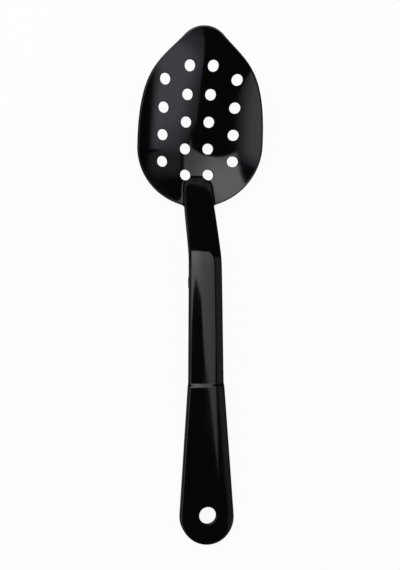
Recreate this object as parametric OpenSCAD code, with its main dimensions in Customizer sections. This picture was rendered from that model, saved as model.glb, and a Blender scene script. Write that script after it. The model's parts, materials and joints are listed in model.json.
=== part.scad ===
// Perforated serving spoon, moulded in one piece from glossy black plastic.
//
// The shape is worked out in the frame of its mould. Z is the way the mould opens, X runs across the spoon
// and Y runs along it, from the tip of the bowl at 0 back to the end of the handle. A station is a distance
// back from the tip, and the top of the handle just behind the knee lies at height 0. The finished spoon is
// then laid down, so that it rests on the bottom of its bowl and on the end of its handle.
//
// Each zone of the moulding is a solid of its own, and the zones meet face to face on flat cuts.

/* [Bowl] */
// Greatest width of the bowl
bowl_w = 69.7; // [66:0.1:74]
// Tip to the widest place
bowl_front_l = 63; // [60:0.5:66]
// Widest place to the back of the rim
bowl_back_l = 33.2; // [31:0.1:36]
// Greatest depth of the hollow below its rim
bowl_depth = 15.1; // [12:0.1:17]
// Thickness of the bowl's wall
bowl_t = 2.2; // [1.8:0.1:2.8]
// Angle at which the rim falls from the tip to the neck
rim_fall_angle = 14.2; // [12:0.1:16]
// How far the rim at the tip lies below the top of the handle
tip_drop = 1.9; // [0:0.1:4]
// Rounding of the rim's upper edge
rim_r = 1; // [0.6:0.1:1.2]
// Radius of the rounded tip
tip_r = 14.5; // [12:0.1:16]
// Angle that the tip's arc turns through to each side
tip_turn_angle = 46; // [42:1:50]
// How far the straight flank runs on from the tip's arc
flank_pull = 20; // [17:0.5:23]
// How far the full side reaches forward from the widest place
side_pull = 41; // [36:0.5:42]

/* [Perforations] */
// Diameter of each drain hole
hole_d = 6.1; // [5:0.1:7]
// Spacing of the holes along the bowl
hole_pitch = 14.6; // [13:0.1:15]
// Station of the first pair of holes in the middle rows
first_hole = 19.8; // [19:0.1:22]
// Distance between the two middle rows
middle_rows_gap = 12.9; // [11:0.1:14]
// Distance between the two outer rows
outer_rows_gap = 39.8; // [36:0.1:41]
// Holes in each middle row
middle_holes = 5; // [3:1:5]
// Holes in each outer row
outer_holes = 4; // [2:1:4]

/* [Neck] */
// Width of the neck where it leaves the bowl
neck_root_w = 15.8; // [14:0.1:17]
// Width of the neck behind its knee
neck_knee_w = 17.7; // [16:0.1:19]
// Height of the neck's sides where it leaves the bowl
neck_root_h = 9.5; // [8.5:0.1:10]
// Slope of the neck
neck_angle = 35; // [34:0.1:38]
// Back of the rim to the knee
neck_l = 27.5; // [26:0.1:30]
// Softness of the bend at the knee
knee_soft = 8.4; // [5:0.1:12]
// How far the neck's tongue runs forward inside the bowl
tongue_l = 16.9; // [15:0.1:18]
// Radius of the tongue's front corners
tongue_r = 6; // [4:0.1:7]
// Lean of the tongue's sides
tongue_lean_angle = 15; // [8:1:20]
// Fillet where the tongue meets the bowl
tongue_blend = 0.7; // [0.5:0.1:1.5]
// Fillet between the rim and the neck, seen from above
rim_fillet = 2.5; // [1.5:0.1:3.5]
// Depth of the neck's root below the back of the rim
root_drop = 4.5; // [4:0.1:5]

/* [Handle] */
// Height of the handle's sides behind the knee
handle_h = 6.3; // [5.8:0.1:7]
// Thickness of the handle's top over its open underside
plate_t = 2.75; // [2.4:0.05:3.2]
// Thickness of the handle's sides
side_t = 2.6; // [2:0.1:3]
// Fall of the top from its middle to its edges, along the handle
crown = 1.8; // [0.3:0.1:2.4]
// Fall of the top from its middle to its edges, at the neck's root
root_crown = 0.6; // [0.3:0.1:2.4]
// Rounding of the handle's upper edges
edge_r = 1; // [0.8:0.1:1.6]
// Rounding of all lower edges
foot_r = 0.5; // [0.3:0.1:0.7]
// Knee to the foot of the step, where the thumb rests
thumb_l = 68.3; // [60:0.1:76]
// Width of the handle at the step
step_w = 19; // [18:0.1:20]
// Length of the step's slope
step_l = 2.2; // [2:0.1:3.5]
// Rise of the grip over the thumb rest
step_h = 0.9; // [0.6:0.1:1.4]

/* [Grip] */
// Foot of the step to the end of the handle
grip_l = 87.4; // [80:0.1:94]
// Width of the grip where it starts
grip_start_w = 19.7; // [19:0.1:21]
// Width of the grip's round end
grip_end_w = 29.3; // [27:0.1:32]
// Diameter of the hole for hanging
hang_hole_d = 9.3; // [8:0.1:10]
// Centre of the hanging hole to the end of the handle
hang_hole_edge = 15.9; // [14:0.1:18]

/* [Pan stop] */
// Knee to the front of the bar under the handle that stops on a pan's rim
pan_stop_set = 11.1; // [8:0.1:14]
// Length of the bar along the handle
pan_stop_l = 6; // [5:0.1:7]
// How far the bar stands out below the handle
pan_stop_h = 1.5; // [1:0.1:2]
// Rounding of the bar's lower edges
pan_stop_r = 1; // [0.5:0.1:1.2]

/* [Hidden] */

black = "#141416";
// Overrun of every cut past the faces it opens
cut = 1;
// Rows of the skins
tip_rows = 6;
flank_rows = 12;
back_rows = 18;
stub_rows = 3;
neck_rows = 12;
end_rows = 12;
// Rows of a round end gather towards its tip by this power
gather_share = 1.5;
// Parts of a quarter turn on a rounded corner, and sides of a round hole
corner_parts = 6;
hole_sides = 48;
// The hollow's depth follows the width of the bowl raised to this power
hollow_power_share = 2.7;
// The top of the handle falls by the crown times the share of its half width raised to this power
crown_power_share = 2.6;
// Places of the columns across the tongue, the open bowl and the rounded edges
tongue_shares = [0, 0.4, 0.75, 0.95, 1.08, 1.25];
open_shares = [0.2, 0.4, 0.6, 0.8];
edge_shares = [1, 0.5, 0.15, 0];
handle_shares = [0, 0.3, 0.55, 0.79];
// The tongue takes at most this much of the bowl's half width
tongue_share = 0.45;
// Rounds of working out how the spoon lies at rest
rest_rounds = 4;

bowl_l = bowl_front_l + bowl_back_l;
knee = bowl_l + neck_l;
// The bowl's zone ends behind the rim, and the neck's zone behind the knee
bowl_end = bowl_l + rim_fillet;
neck_end = knee + knee_soft / 2;
step_back = knee + thumb_l;
spoon_l = step_back + grip_l;
pan_stop_front = knee + pan_stop_set;
// The thumb stop holds the step's slope with a short flat at each side
stop_flat = step_l / 3;
stop_start = step_back - stop_flat;
stop_end = step_back + step_l + stop_flat;
end_r = grip_end_w / 2;
end_st = spoon_l - end_r;
// The hollow under the neck runs this far behind the bowl's zone before it opens
root_solid = 2 * side_t;

// Smooth greater and smooth lesser of two heights
function soft_max(a, b, soft) = (a + b + sqrt((a - b) * (a - b) + soft * soft)) / 2;
function soft_min(a, b, soft) = -soft_max(-a, -b, soft);
function mix(a, b, t) = a + (b - a) * t;
function clamp(t) = min(1, max(0, t));
function ramp(t) = let (u = clamp(t)) u * u * (3 - 2 * u);
function bezier(p, t) = pow(1 - t, 3) * p[0] + 3 * pow(1 - t, 2) * t * p[1]
    + 3 * (1 - t) * t * t * p[2] + t * t * t * p[3];
// Drop of a rounded edge of radius r at a distance d inside the outline
function edge_drop(d, r) = d >= r ? 0 : r - sqrt(max(0, r * r - pow(r - max(0, d), 2)));

// Plan of the neck and handle: half widths at a station
grip_reach = norm([grip_start_w / 2, end_st - stop_end]);
flare_angle = asin(end_r / grip_reach) - atan(grip_start_w / 2 / (end_st - stop_end));
flare_end = end_st - end_r * sin(flare_angle);
function neck_half(st) = mix(neck_root_w, neck_knee_w, clamp((st - bowl_l) / (neck_end - bowl_l))) / 2;
function thumb_half(st) = mix(neck_knee_w, step_w, (st - neck_end) / (stop_start - neck_end)) / 2;
function stop_half(st) = mix(step_w, grip_start_w, ramp((st - stop_start) / (stop_end - stop_start))) / 2;
function grip_half(st) = st < flare_end
    ? grip_start_w / 2 + (st - stop_end) * tan(flare_angle)
    : sqrt(max(0, end_r * end_r - pow(st - end_st, 2)));
function handle_half(st) = st < neck_end ? neck_half(st) : st < stop_start ? thumb_half(st)
    : st < stop_end ? stop_half(st) : grip_half(st);
// The grip's round end turns through this angle up to each of its rows
function end_turn(i) = mix(-flare_angle, 90, 1 - pow(1 - i / (end_rows + 1), gather_share));
function end_row(i) = end_st + end_r * sin(end_turn(i));

// Heights along the middle line
function rim_z(st) = -tip_drop - st * tan(rim_fall_angle);
function knee_bend(st) = sqrt(pow(st - knee, 2) + knee_soft * knee_soft / 4);
function neck_top(st) = tan(neck_angle) / 2 * (st - knee - knee_bend(st));
function neck_slope(st) = tan(neck_angle) / 2 * (1 - (st - knee) / knee_bend(st));
function handle_top(st) = neck_top(st) + step_h * ramp((st - step_back) / step_l);
function neck_height(st) = mix(neck_root_h, handle_h, ramp((st - bowl_l) / (neck_end - bowl_l)));
root_floor = rim_z(bowl_l) - root_drop;

// Outline of the bowl: station, half width and slope of the edge, from the tip back to the neck
arc_end = tip_r * [1 - cos(tip_turn_angle), sin(tip_turn_angle)];
flank = [arc_end, arc_end + flank_pull * [sin(tip_turn_angle), cos(tip_turn_angle)],
    [bowl_front_l - side_pull, bowl_w / 2], [bowl_front_l, bowl_w / 2]];
function back_point(a) = [bowl_front_l + bowl_back_l * sin(a),
    soft_max(bowl_w / 2 * cos(a), neck_root_w / 2, rim_fillet)];
edge_line = concat(
    [for (i = [1:tip_rows]) let (a = tip_turn_angle * pow(i / tip_rows, gather_share))
        tip_r * [1 - cos(a), sin(a)]],
    [for (i = [1:flank_rows]) bezier(flank, i / flank_rows)],
    [for (i = [1:back_rows]) back_point(90 * i / back_rows)],
    [for (i = [1:stub_rows]) let (st = mix(bowl_l, bowl_end, i / stub_rows)) [st, neck_half(st)]]);
edge_n = len(edge_line);
function edge_slope(i) = let (a = edge_line[max(0, i - 1)], b = edge_line[min(edge_n - 1, i + 1)])
    (b[1] - a[1]) / (b[0] - a[0]);

// Distance from a point to the outline, measured square to it
function bowl_inset(x, st, half, slope) = st < arc_end[0]
    ? tip_r - norm([x, tip_r - st]) : (half - abs(x)) / sqrt(1 + slope * slope);

// The hollow of the bowl, and its lean along and across
hollow_k = bowl_depth / pow(bowl_w / 2, hollow_power_share);
function hollow_z(x, st, half) = rim_z(st)
    - hollow_k * (pow(half, hollow_power_share) - x * x * pow(half, hollow_power_share - 2));
function hollow_lean(x, half, slope) = norm([
    2 * hollow_k * x * pow(half, hollow_power_share - 2),
    tan(rim_fall_angle) + hollow_k * slope * (hollow_power_share * pow(half, hollow_power_share - 1)
        - (hollow_power_share - 2) * x * x * pow(half, hollow_power_share - 3))]);

// The neck's tongue on the back of the hollow, rounded at its front
tongue_front = bowl_l - tongue_l;
function tongue_out(x, st) = let (q = [abs(x) - neck_half(st) + tongue_r, tongue_front + tongue_r - st])
    norm([max(0, q[0]), max(0, q[1])]) + min(0, max(q[0], q[1])) - tongue_r;
function wall_fall(d) = (d + sqrt(d * d + pow(tongue_blend / 2, 2))) / 2 / tan(tongue_lean_angle);
function tongue_z(x, st) = neck_top(st) - root_crown * pow(abs(x) / neck_half(st), crown_power_share)
    - wall_fall(tongue_out(x, st));
function root_z(x, st) = max(neck_top(st) - neck_height(st), root_floor) + wall_fall(tongue_out(x, st));

// Upper and lower skin of the neck and handle
function handle_inset(x, st) = st < end_st ? handle_half(st) - abs(x) : end_r - norm([x, st - end_st]);
function crown_fall(st) = mix(root_crown, crown, ramp((st - bowl_l) / (neck_end - bowl_l)));
function handle_skin_top(x, st) = handle_top(st) - edge_drop(handle_inset(x, st), edge_r)
    - crown_fall(st) * pow(abs(x) / (st < end_st ? handle_half(st) : end_r), crown_power_share);
function handle_skin_bottom(x, st) = neck_top(st) - neck_height(st)
    + edge_drop(handle_inset(x, st), foot_r);

// Upper and lower skin of the bowl's zone, which turns into the neck behind the rim
function neck_ramp(st) = ramp((st - bowl_l) / (bowl_end - bowl_l));
function bowl_top(x, st, half, slope) = mix(
    soft_max(hollow_z(x, st, half), tongue_z(x, st), tongue_blend)
        - edge_drop(bowl_inset(x, st, half, slope), rim_r),
    handle_skin_top(x, st), neck_ramp(st));
function bowl_shell(x, st, half, slope) = hollow_z(x, st, half)
    - bowl_t * sqrt(1 + pow(hollow_lean(x, half, slope), 2));
function bowl_bottom(x, st, half, slope) = mix(
    (st > bowl_l ? root_z(x, st) : soft_min(bowl_shell(x, st, half, slope), root_z(x, st), tongue_blend))
        + edge_drop(bowl_inset(x, st, half, slope), foot_r),
    handle_skin_bottom(x, st), neck_ramp(st));

// A closed section at a station, from the right half of its upper and of its lower line
function section(st, top, bottom) = concat(
    [for (i = [len(top) - 1:-1:1]) [-top[i][0], -st, top[i][1]]],
    [for (p = top) [p[0], -st, p[1]]],
    [for (i = [len(bottom) - 1:-1:0]) [bottom[i][0], -st, bottom[i][1]]],
    [for (i = [1:len(bottom) - 1]) [-bottom[i][0], -st, bottom[i][1]]]);

function bowl_columns(half, r) = let (tongue = min(neck_root_w / 2, tongue_share * half),
    first = tongue_shares[len(tongue_shares) - 1] * tongue, last = max(first, half - r))
    concat([for (s = tongue_shares) s * tongue], [for (s = open_shares) mix(first, last, s)],
        [for (s = edge_shares) mix(half, last, s)]);
function bowl_section(i) = let (st = edge_line[i][0], half = edge_line[i][1], slope = edge_slope(i),
    columns = bowl_columns(half, mix(rim_r, edge_r, neck_ramp(st))))
    section(st, [for (x = columns) [x, bowl_top(x, st, half, slope)]],
        [for (x = columns) [x, bowl_bottom(x, st, half, slope)]]);
function handle_section(st) = let (half = handle_half(st), flat = max(half / 2, half - edge_r),
    columns = concat([for (s = handle_shares) s * flat], [for (s = edge_shares) mix(half, flat, s)]))
    section(st, [for (x = columns) [x, handle_skin_top(x, st)]],
        [for (x = columns) [x, handle_skin_bottom(x, st)]]);

// At rest the bowl's keel and the rounded lower edge of the handle's end touch the table
keel = [for (i = [0:edge_n - 1]) let (e = edge_line[i]) [-e[0], bowl_bottom(0, e[0], e[1], edge_slope(i))]];
heel = [foot_r - spoon_l, neck_top(spoon_l) - handle_h + foot_r];
function rest_angle(n) = n <= 0 ? 0 : let (a = rest_angle(n - 1))
    max([for (k = keel) atan((heel[1] - k[1] - foot_r / cos(a)) / (k[0] - heel[0]))]);
pitch = rest_angle(rest_rounds);
floor_z = heel[0] * sin(pitch) + heel[1] * cos(pitch) - foot_r;
function rest_y(p) = p[1] * cos(pitch) - p[2] * sin(pitch);
front_y = max([for (p = bowl_section(0)) rest_y(p)]);
back_y = min([for (p = handle_section(end_row(end_rows))) rest_y(p)]);

module at_rest() {
    translate([0, -(front_y + back_y) / 2, -floor_z]) rotate([pitch, 0, 0]) children();
}

// A skin over sections that have the same number of points
module skin(sections) {
    n = len(sections[0]);
    m = len(sections);
    sides = [for (i = [0:m - 2]) for (j = [0:n - 1])
        let (a = i * n + j, b = i * n + (j + 1) % n, c = a + n, d = b + n)
        each j < n / 2 ? [[a, d, b], [a, c, d]] : [[a, c, b], [b, c, d]]];
    front = [for (j = [0:n - 1]) j];
    back = [for (j = [n - 1:-1:0]) (m - 1) * n + j];
    polyhedron(points = [for (s = sections) each s], faces = concat([front], sides, [back]), convexity = 8);
}

module perforation_row(rows_gap, start, count) {
    depth = -rim_z(bowl_l) + bowl_depth;
    for (side = [-1, 1]) for (i = [0:count - 1])
        translate([side * rows_gap / 2, -(start + i * hole_pitch), -depth])
            cylinder(h = depth + cut, d = hole_d, $fn = hole_sides);
}

module bowl() {
    color(black) at_rest() difference() {
        skin([for (i = [0:edge_n - 1]) bowl_section(i)]);
        perforation_row(middle_rows_gap, first_hole, middle_holes);
        perforation_row(outer_rows_gap, first_hole + hole_pitch / 2, outer_holes);
    }
}

// The open underside: a cut from a floor to a ceiling, from the half widths at its stations
function inner_line(stations) = [for (st = stations) [handle_half(st) - side_t, st]];
module hollow_plan(line, floor, ceiling) {
    translate([0, 0, floor]) linear_extrude(ceiling - floor)
        polygon(concat([for (p = line) [p[0], -p[1]]],
            [for (i = [len(line) - 1:-1:0]) [-line[i][0], -line[i][1]]]));
}

module neck() {
    start = bowl_end + root_solid;
    back = neck_end + cut;
    deep = root_floor - cut;
    ceiling = [for (i = [0:neck_rows]) let (st = mix(start, back, i / neck_rows))
        [-st, neck_top(st) - plate_t * sqrt(1 + pow(neck_slope(st), 2))]];
    color(black) at_rest() difference() {
        skin([for (i = [0:neck_rows]) handle_section(mix(bowl_end, neck_end, i / neck_rows))]);
        intersection() {
            rotate([90, 0, 90]) linear_extrude(neck_knee_w, center = true)
                polygon(concat([[-start, deep]], ceiling, [[-back, deep]]));
            hollow_plan(inner_line([start, neck_end, back]), deep - cut, 0);
        }
    }
}

module thumb_rest() {
    color(black) at_rest() difference() {
        skin([for (i = [0:neck_rows]) handle_section(mix(neck_end, stop_start, i / neck_rows))]);
        hollow_plan(inner_line([neck_end - cut, stop_start + cut]), -2 * handle_h, -plate_t);
    }
}

module thumb_stop() {
    color(black) at_rest() difference() {
        skin([for (i = [0:neck_rows]) handle_section(mix(stop_start, stop_end, i / neck_rows))]);
        hollow_plan(inner_line([stop_start - cut, stop_start, stop_end, stop_end + cut]),
            -2 * handle_h, -plate_t);
    }
}

// The grip before its hanging hole is drilled
module grip_shell() {
    inner_r = end_r - side_t;
    difference() {
        skin(concat([for (i = [0:end_rows]) handle_section(mix(stop_end, flare_end, i / end_rows))],
            [for (i = [1:end_rows]) handle_section(end_row(i))]));
        hollow_plan(concat(inner_line([stop_end - cut, stop_end]),
            [for (i = [0:end_rows]) let (a = mix(-flare_angle, 90, i / (end_rows + 1)))
                [inner_r * cos(a), end_st + inner_r * sin(a)]]), -2 * handle_h, step_h - plate_t);
    }
}

module grip() {
    color(black) at_rest() difference() {
        grip_shell();
        translate([0, hang_hole_edge - spoon_l, -handle_h - cut])
            cylinder(h = handle_h + step_h + 2 * cut, d = hang_hole_d, $fn = hole_sides);
    }
}

// A quarter of a circle, turned clockwise from an angle
function corner(at, r, from) = [for (i = [0:corner_parts]) let (a = from - 90 * i / corner_parts)
    at + r * [cos(a), sin(a)]];

// A bar across the open underside that stands out below the handle's sides
module pan_stop() {
    back = pan_stop_front + pan_stop_l;
    low = pan_stop_r - handle_h - pan_stop_h;
    color(black) at_rest() {
        hollow_plan(inner_line([pan_stop_front, back]), -handle_h, -plate_t);
        rotate([90, 0, 90]) linear_extrude(2 * thumb_half(pan_stop_front + pan_stop_l / 2), center = true)
            polygon(concat([[-back, -handle_h], [-pan_stop_front, -handle_h]],
                corner([-pan_stop_front - pan_stop_r, low], pan_stop_r, 0),
                corner([pan_stop_r - back, low], pan_stop_r, -90)));
    }
}

bowl();
neck();
thumb_rest();
thumb_stop();
grip();
pan_stop();
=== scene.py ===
# A perforated serving spoon, moulded in one piece from glossy black polycarbonate.
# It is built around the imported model, zone by zone, and lit as on a product photographer's table.
import json
import math

import bpy
import numpy as np
from bpy.props import FloatProperty, FloatVectorProperty, IntProperty, PointerProperty, StringProperty
from mathutils import Matrix, Vector

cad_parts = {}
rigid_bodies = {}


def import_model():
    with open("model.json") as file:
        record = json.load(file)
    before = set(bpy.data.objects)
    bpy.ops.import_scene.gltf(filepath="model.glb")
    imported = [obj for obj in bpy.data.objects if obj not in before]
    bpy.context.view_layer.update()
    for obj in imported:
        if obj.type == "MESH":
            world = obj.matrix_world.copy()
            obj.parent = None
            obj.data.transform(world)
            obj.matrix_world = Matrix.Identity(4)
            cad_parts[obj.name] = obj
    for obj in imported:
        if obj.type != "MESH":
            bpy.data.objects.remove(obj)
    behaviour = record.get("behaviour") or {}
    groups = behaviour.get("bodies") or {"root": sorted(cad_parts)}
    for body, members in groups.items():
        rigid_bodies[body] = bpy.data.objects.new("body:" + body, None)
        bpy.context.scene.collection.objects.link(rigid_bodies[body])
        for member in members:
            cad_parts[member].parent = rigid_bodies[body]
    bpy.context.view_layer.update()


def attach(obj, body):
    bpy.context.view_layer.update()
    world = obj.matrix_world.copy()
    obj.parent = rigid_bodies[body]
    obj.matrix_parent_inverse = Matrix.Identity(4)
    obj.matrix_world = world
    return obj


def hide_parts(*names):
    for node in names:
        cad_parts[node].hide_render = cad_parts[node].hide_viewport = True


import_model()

bl_info = {
    "name": "Perforated serving spoon",
    "version": (1, 0, 0),
    "blender": (4, 5, 0),
    "location": "3D View > Sidebar > Spoon",
    "description": "Builds a moulded serving spoon with drain holes, and the table it is photographed on",
    "category": "Add Mesh",
}

MM = 0.001
BODY = "root"

# How finely the skins are divided
TIP_ROWS = 18
FLANK_ROWS = 60
BACK_ROWS = 84
STUB_ROWS = 6
HANDLE_ROWS = 48
END_ROWS = 40
ARC_PARTS = 8
HANDLE_COLUMNS = 24
HOLE_SIDES = 64
# Millimetres over which slopes are measured, and under which two places are one, with its decimal places
GRADIENT_STEP = 0.01
MERGE = 1e-5
MERGE_PLACES = 5
# Decimal places of a millimetre that a property keeps
SIZE_PLACES = 4
# Rounds in which the slope that the spoon lies at settles
PITCH_ROUNDS = 4
# Rounded edges of the bores: parts, lean of the first ring and the drill's reach past the skin in millimetres
EDGE_PARTS = 4
EDGE_LEAN = math.radians(20)
OVERRUN = 0.9


def length(name, mm, text):
    return FloatProperty(name=name, description=text, default=mm * MM, unit="LENGTH", precision=5)


def angle(name, degrees, text):
    return FloatProperty(name=name, description=text, default=math.radians(degrees), subtype="ANGLE")


class SPOON_PG_bowl(bpy.types.PropertyGroup):
    """Sizes of the bowl and of its drain holes"""
    width: length("Width", 69.7, "Greatest width of the bowl")
    front: length("Front length", 63, "Tip to the widest place")
    back: length("Back length", 33.2, "Widest place to the back of the rim")
    depth: length("Depth", 15.1, "Greatest depth of the hollow below its rim")
    wall: length("Wall", 2.2, "Thickness of the bowl's wall")
    fall: angle("Rim fall", 14.2, "Angle at which the rim falls from the tip to the neck")
    tip_drop: length("Tip drop", 1.9, "How far the rim at the tip lies below the top of the handle")
    rim_round: length("Rim rounding", 1, "Rounding of the rim's upper edge")
    tip_round: length("Tip radius", 14.5, "Radius of the rounded tip")
    tip_turn: angle("Tip turn", 46, "Angle that the tip's arc turns through to each side")
    flank_pull: length("Flank pull", 20, "How far the straight flank runs on from the tip's arc")
    side_pull: length("Side pull", 41, "How far the full side reaches forward from the widest place")
    hole: length("Hole", 6.1, "Diameter of each drain hole")
    hole_soft: length("Hole edge", 0.25, "Rounding of the edges of the drain holes")
    pitch: length("Hole pitch", 14.6, "Spacing of the holes along the bowl")
    first: length("First hole", 19.8, "Tip to the first holes of the middle rows")
    middle_gap: length("Middle rows", 12.9, "Distance between the two middle rows")
    outer_gap: length("Outer rows", 39.8, "Distance between the two outer rows")
    middle_count: IntProperty(name="Middle holes", description="Holes in each middle row", default=5, min=1)
    outer_count: IntProperty(name="Outer holes", description="Holes in each outer row", default=4, min=1)


class SPOON_PG_handle(bpy.types.PropertyGroup):
    """Sizes of the neck, the handle and the pan stop"""
    root_width: length("Root width", 15.8, "Width of the neck where it leaves the bowl")
    knee_width: length("Knee width", 17.7, "Width of the neck behind its knee")
    root_height: length("Root height", 9.5, "Height of the neck's sides where it leaves the bowl")
    slope: angle("Neck slope", 35, "Slope of the neck")
    neck: length("Neck", 27.5, "Back of the rim to the knee")
    knee_soft: length("Knee softness", 8.4, "Softness of the bend at the knee")
    tongue: length("Tongue", 16.9, "How far the neck's tongue runs forward inside the bowl")
    tongue_round: length("Tongue corners", 6, "Radius of the tongue's front corners")
    tongue_lean: angle("Tongue lean", 15, "Lean of the tongue's sides")
    tongue_blend: length("Tongue fillet", 0.7, "Fillet where the tongue meets the bowl")
    rim_fillet: length("Rim fillet", 2.5, "Fillet between the rim and the neck, seen from above")
    root_drop: length("Root drop", 4.5, "Depth of the neck's root below the back of the rim")
    height: length("Height", 6.3, "Height of the handle's sides behind the knee")
    plate: length("Top", 2.75, "Thickness of the handle's top over its open underside")
    side: length("Side", 2.6, "Thickness of the handle's sides")
    crown: length("Crown", 1.8, "Fall of the top from its middle to its edges, along the handle")
    root_crown: length("Root crown", 0.6, "Fall of the top from its middle to its edges, at the neck's root")
    edge_round: length("Edge rounding", 1, "Rounding of the handle's upper edges")
    foot_round: length("Lower edges", 0.5, "Rounding of all lower edges")
    thumb: length("Thumb rest", 68.3, "Knee to the foot of the step")
    step_width: length("Step width", 19, "Width of the handle at the step")
    step_run: length("Step length", 2.2, "Length of the step's slope")
    step_rise: length("Step height", 0.9, "Rise of the grip over the thumb rest")
    grip: length("Grip", 87.4, "Foot of the step to the end of the handle")
    grip_width: length("Grip width", 19.7, "Width of the grip where it starts")
    end_width: length("End width", 29.3, "Width of the grip's round end")
    hang_hole: length("Hanging hole", 9.3, "Diameter of the hole for hanging")
    hang_soft: length("Hanging hole edge", 0.4, "Rounding of the edges of the hanging hole")
    hang_edge: length("Hanging edge", 15.9, "Centre of the hanging hole to the end of the handle")
    stop_set: length("Pan stop place", 11.1, "Knee to the front of the bar below the handle")
    stop_run: length("Pan stop length", 6, "Length of the bar along the handle")
    stop_drop: length("Pan stop height", 1.5, "How far the bar stands out below the handle")
    stop_round: length("Pan stop rounding", 1, "Rounding of the bar's lower edges")


class Millimetres:
    """A property group's lengths in millimetres and its angles in radians."""

    def __init__(self, group):
        for name, prop in group.bl_rna.properties.items():
            value = getattr(group, name)
            if prop.type == "FLOAT":
                value = round(value / MM, SIZE_PLACES) if prop.unit == "LENGTH" else value
            if prop.type in ("FLOAT", "INT"):
                setattr(self, name, value)


def soft_max(a, b, soft):
    return (a + b + np.sqrt((a - b) ** 2 + soft * soft)) / 2


def soft_min(a, b, soft):
    return -soft_max(-a, -b, soft)


def mix(a, b, t):
    return a + (b - a) * t


def ramp(t):
    u = np.clip(t, 0, 1)
    return u * u * (3 - 2 * u)


def slopes(height, x, st):
    """Slopes of a height over the plan, across and along it."""
    e = GRADIENT_STEP
    across = (height(x + e, st) - height(x - e, st)) / (2 * e)
    along = (height(x, st + e) - height(x, st - e)) / (2 * e)
    return across, along


# Powers with which the hollow deepens with the bowl's width, and the handle's top falls towards its edges
HOLLOW_POWER = 2.7
CROWN_POWER = 2.6


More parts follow.
